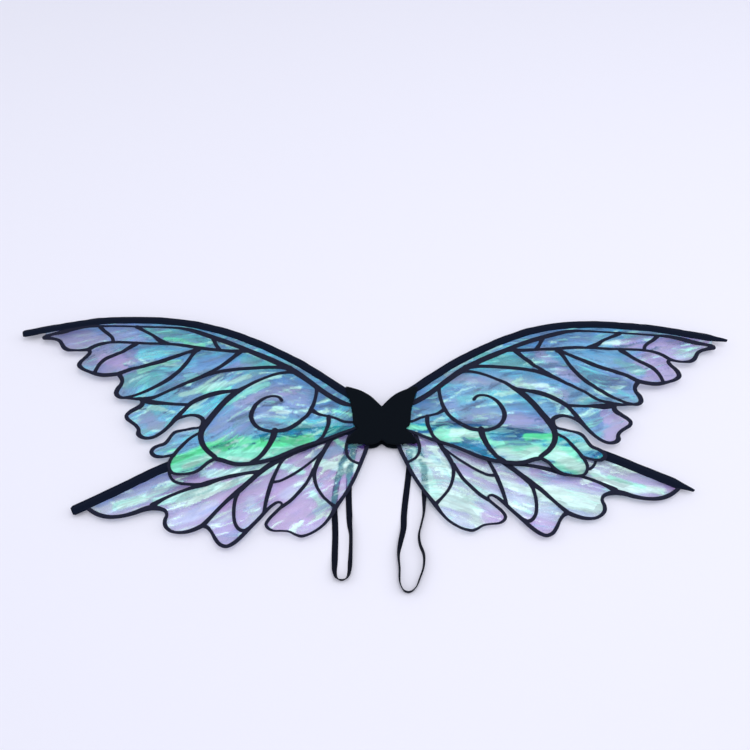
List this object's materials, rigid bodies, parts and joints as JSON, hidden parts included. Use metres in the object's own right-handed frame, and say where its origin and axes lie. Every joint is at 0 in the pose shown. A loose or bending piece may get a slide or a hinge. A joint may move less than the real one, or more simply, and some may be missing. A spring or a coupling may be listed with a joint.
{
  "type": "costume fairy wings",
  "caption": "Costume wings of iridescent film with black veins and wire leading edges on a felt pad, worn on the back by elastic arm loops.",
  "frame": {"origin": "the middle of the back pad's rear face, which rests against the wearer's back", "axes": "+X along the wingspan to the viewer's right, +Y to the top of the wings, +Z away from the wearer"},
  "size_m": [0.9015, 0.359, 0.0147],
  "materials": {
    "felt": "matte black felt",
    "sleeve": "black woven tape with a slight sheen",
    "veins": "black flexible print, slightly glossy",
    "film": "clear iridescent film",
    "elastic": "black woven elastic",
    "thread": "black thread",
    "wire": "spring steel wire"
  },
  "bodies": {
    "pad": {"back_pad": "felt", "front_pad": "felt", "upper_root_wire": "wire", "lower_root_wire": "wire", "root_wire_binding": "thread", "strap_end_left_inner": "elastic", "strap_end_left_outer": "elastic", "strap_end_right_inner": "elastic", "strap_end_right_outer": "elastic", "strap_tack_left_inner": "thread", "strap_tack_left_outer": "thread", "strap_tack_right_inner": "thread", "strap_tack_right_outer": "thread"},
    "upper_wing_left": {"upper_wire_left": "wire", "upper_sleeve_left": "sleeve", "upper_film_left": "film", "upper_veins_left": "veins"},
    "upper_wing_right": {"upper_wire_right": "wire", "upper_sleeve_right": "sleeve", "upper_film_right": "film", "upper_veins_right": "veins"},
    "lower_wing_left": {"lower_wire_left": "wire", "lower_sleeve_left": "sleeve", "lower_film_left": "film", "lower_veins_left": "veins"},
    "lower_wing_right": {"lower_wire_right": "wire", "lower_sleeve_right": "sleeve", "lower_film_right": "film", "lower_veins_right": "veins"},
    "loop_left": {"strap_loop_left": "elastic"},
    "loop_right": {"strap_loop_right": "elastic"}
  },
  "joints": [
    {"name": "left_wing_fold", "type": "hinge", "parent": "pad", "child": "upper_wing_left", "pos_m": [-0.0465, 0.05, 0.0076], "axis": [-0.1515, 0.9885, 0], "range_deg": [0, 60]},
    {"name": "left_lower_wing_fold", "type": "hinge", "parent": "pad", "child": "lower_wing_left", "pos_m": [-0.0385, -0.008, 0.005], "axis": [-0.4583, 0.8888, 0], "range_deg": [0, 30]},
    {"name": "right_wing_fold", "type": "hinge", "parent": "pad", "child": "upper_wing_right", "pos_m": [0.0465, 0.05, 0.0076], "axis": [-0.1515, -0.9885, 0], "range_deg": [0, 60]},
    {"name": "right_lower_wing_fold", "type": "hinge", "parent": "pad", "child": "lower_wing_right", "pos_m": [0.0385, -0.008, 0.005], "axis": [-0.4583, -0.8888, 0], "range_deg": [0, 30]},
    {"name": "left_loop_swing", "type": "hinge", "parent": "pad", "child": "loop_left", "pos_m": [-0.037, -0.0324, -0.00155], "axis": [1, 0, 0], "range_deg": [0, 90]},
    {"name": "right_loop_swing", "type": "hinge", "parent": "pad", "child": "loop_right", "pos_m": [0.037, -0.0324, -0.00155], "axis": [1, 0, 0], "range_deg": [0, 90]}
  ],
  "couplings": [
    {"joint": "left_lower_wing_fold", "follows": "left_wing_fold", "ratio": 0.5},
    {"joint": "right_lower_wing_fold", "follows": "right_wing_fold", "ratio": 0.5}
  ]
}
